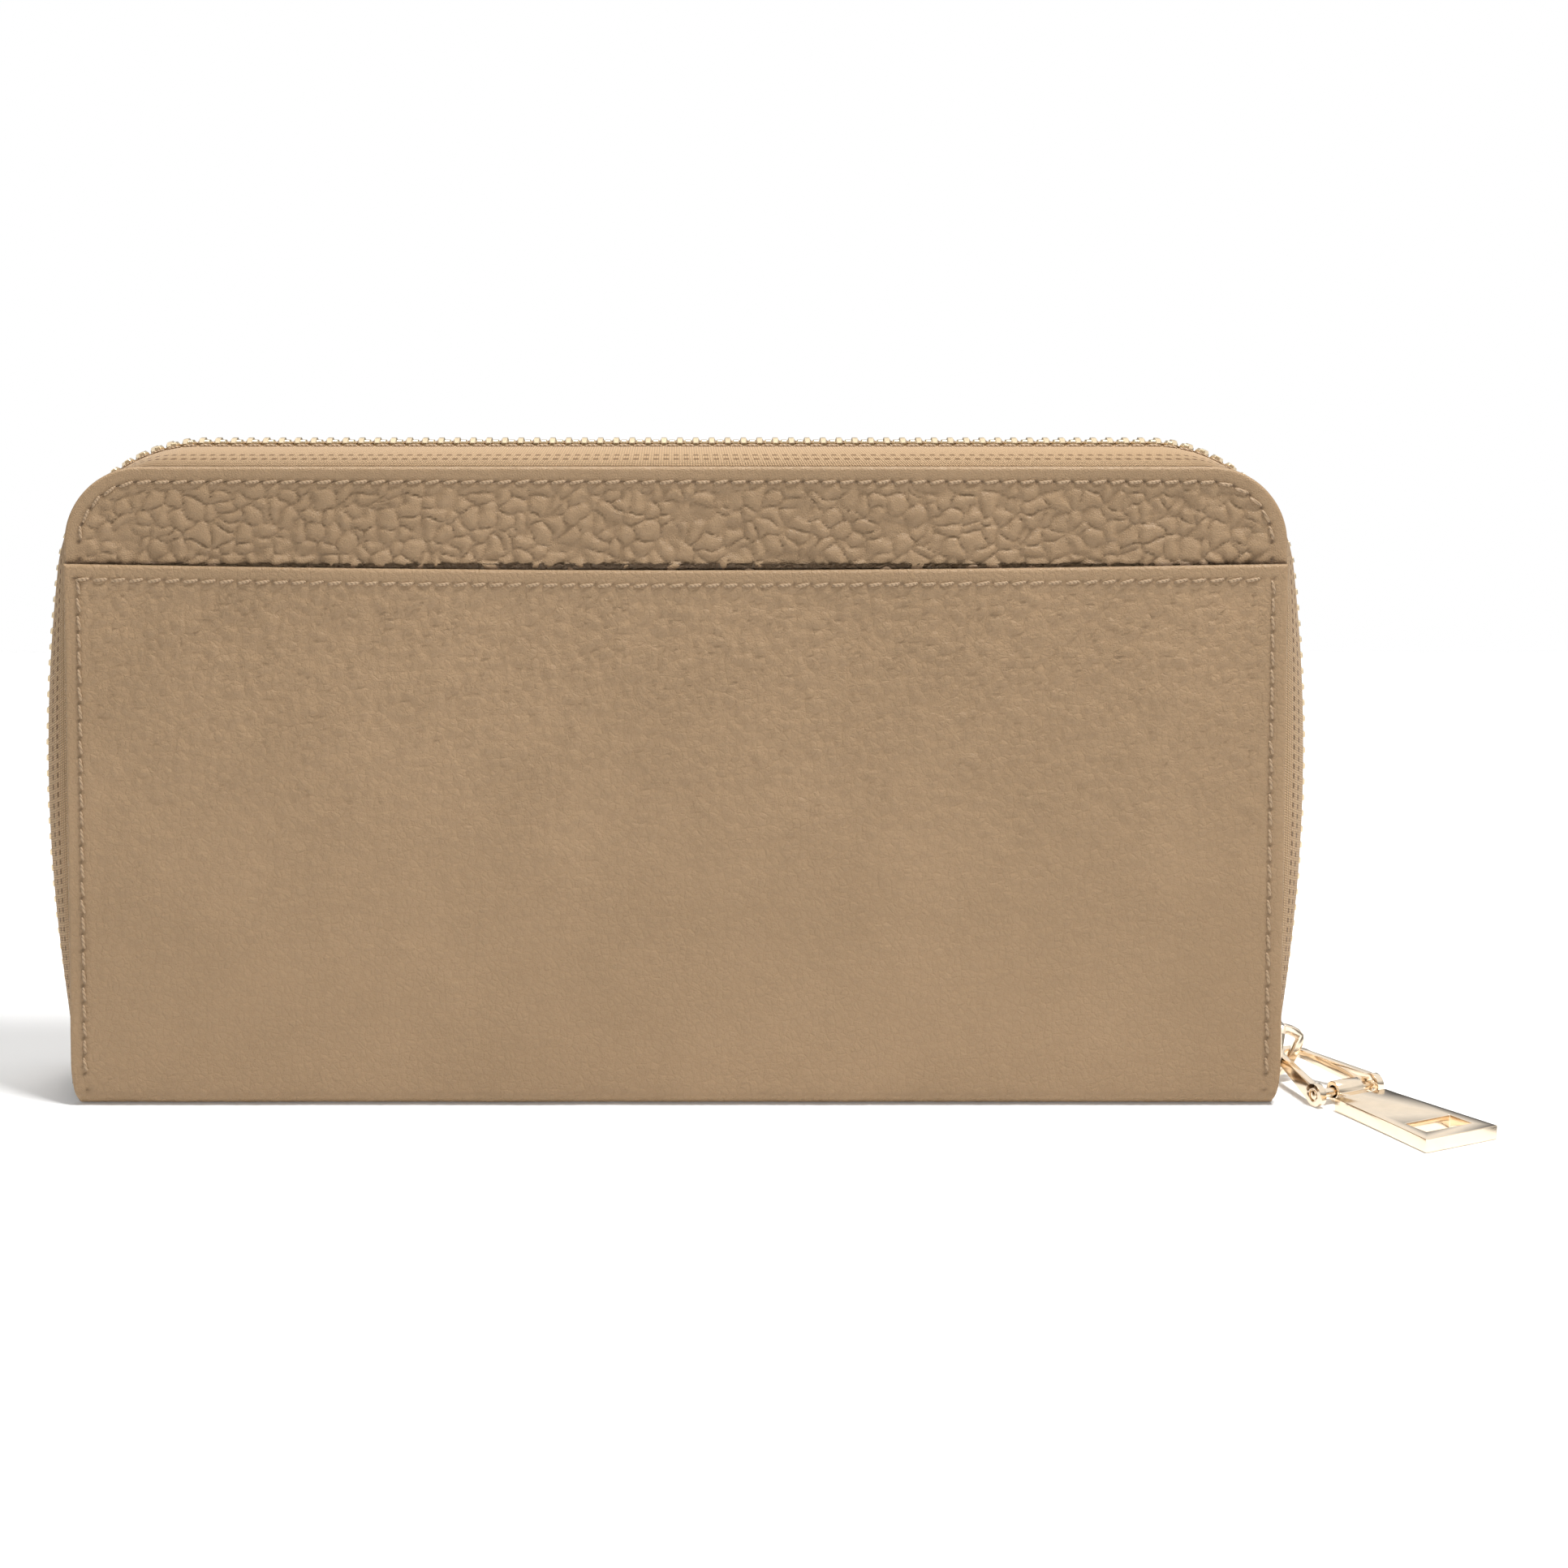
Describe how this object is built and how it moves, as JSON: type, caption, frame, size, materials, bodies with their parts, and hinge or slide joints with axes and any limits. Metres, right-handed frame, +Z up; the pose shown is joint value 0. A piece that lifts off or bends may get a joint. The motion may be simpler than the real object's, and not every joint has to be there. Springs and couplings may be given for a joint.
{
  "type": "zip around wallet",
  "caption": "Long zip-around wallet that stands on its spine, with an outer slip pocket, card slots, gussets and a zipped coin pocket.",
  "frame": {"origin": "centre of the spine base, on the surface that the wallet stands on", "axes": "+X along the wallet towards the parked zip slider, +Z up, -Y towards the slip pocket side"},
  "size_m": [0.2253, 0.0494, 0.1043],
  "materials": {
    "leather": "pebbled cow leather, camel, semi-matte",
    "lining": "fine woven lining, brown",
    "tape": "woven zip tape, tan",
    "board": "plain stiffener board",
    "brass": "polished gilt zip teeth",
    "gold": "polished pale gold plate"
  },
  "bodies": {
    "root": {"spine_cover": "leather", "spine_lining": "lining", "back_panel": "leather", "back_slip_pocket": "leather", "back_board": "board", "back_lining": "lining", "card_slot_back_1": "leather", "card_slot_back_2": "leather", "card_slot_back_3": "leather", "card_slot_back_4": "leather", "zip_tape_back": "tape", "zip_teeth_back": "brass", "zip_bottom_stop": "brass", "zip_top_stop_back": "brass", "gusset_left": "lining", "gusset_right": "lining"},
    "front_half": {"front_panel": "leather", "front_board": "board", "front_lining": "lining", "card_slot_front_1": "leather", "card_slot_front_2": "leather", "card_slot_front_3": "leather", "card_slot_front_4": "leather", "zip_tape_front": "tape", "zip_teeth_front": "brass", "zip_top_stop_front": "brass"},
    "coin_pocket": {"coin_pocket_bag": "lining", "coin_tape_back": "tape", "coin_tape_front": "tape", "coin_teeth_back": "brass", "coin_teeth_front": "brass", "coin_stop_left": "brass", "coin_stop_right": "brass"},
    "coin_slider": {"coin_slider_body": "gold", "coin_slider_bridge": "gold"},
    "coin_pull": {"coin_pull": "gold"},
    "slider": {"slider_body": "gold", "slider_bridge": "gold"},
    "pull_link": {"pull_link": "gold", "pull_pin": "gold"},
    "pull_tab": {"pull_tab": "gold"}
  },
  "joints": [
    {"name": "front_open", "type": "hinge", "parent": "root", "child": "front_half", "pos_m": [0, 0.0105, 0.002], "axis": [-1, 0, 0], "range_deg": [0, 60], "deforming": ["gusset_left", "gusset_right", "spine_cover"]},
    {"name": "coin_pocket_swing", "type": "hinge", "parent": "root", "child": "coin_pocket", "pos_m": [0, 0, 0.0035], "axis": [-1, 0, 0], "range_deg": [0, 30]},
    {"name": "slider_travel", "type": "hinge", "parent": "root", "child": "slider", "pos_m": [-0.1507, 0, 0.052], "axis": [0, -1, 0], "range_deg": [0, 16]},
    {"name": "pull_link_swing", "type": "hinge", "parent": "slider", "child": "pull_link", "pos_m": [0.09943, 0.00103, 0.0044], "axis": [-0.8746, -0.4848, 0], "range_deg": [0, 14]},
    {"name": "pull_tab_swing", "type": "hinge", "parent": "pull_link", "child": "pull_tab", "pos_m": [0.10593, -0.01069, 0.0019], "axis": [-0.8746, -0.4848, 0], "range_deg": [0, 40]},
    {"name": "coin_slider_travel", "type": "slide", "parent": "coin_pocket", "child": "coin_slider", "axis": [-1, 0, 0], "range_m": [0, 0.12]},
    {"name": "coin_pull_swing", "type": "hinge", "parent": "coin_slider", "child": "coin_pull", "pos_m": [0.0614, 0, 0.0821], "axis": [0, 1, 0], "range_deg": [0, 60]}
  ],
  "couplings": [
    {"joint": "coin_pocket_swing", "follows": "front_open", "ratio": 0.5}
  ]
}
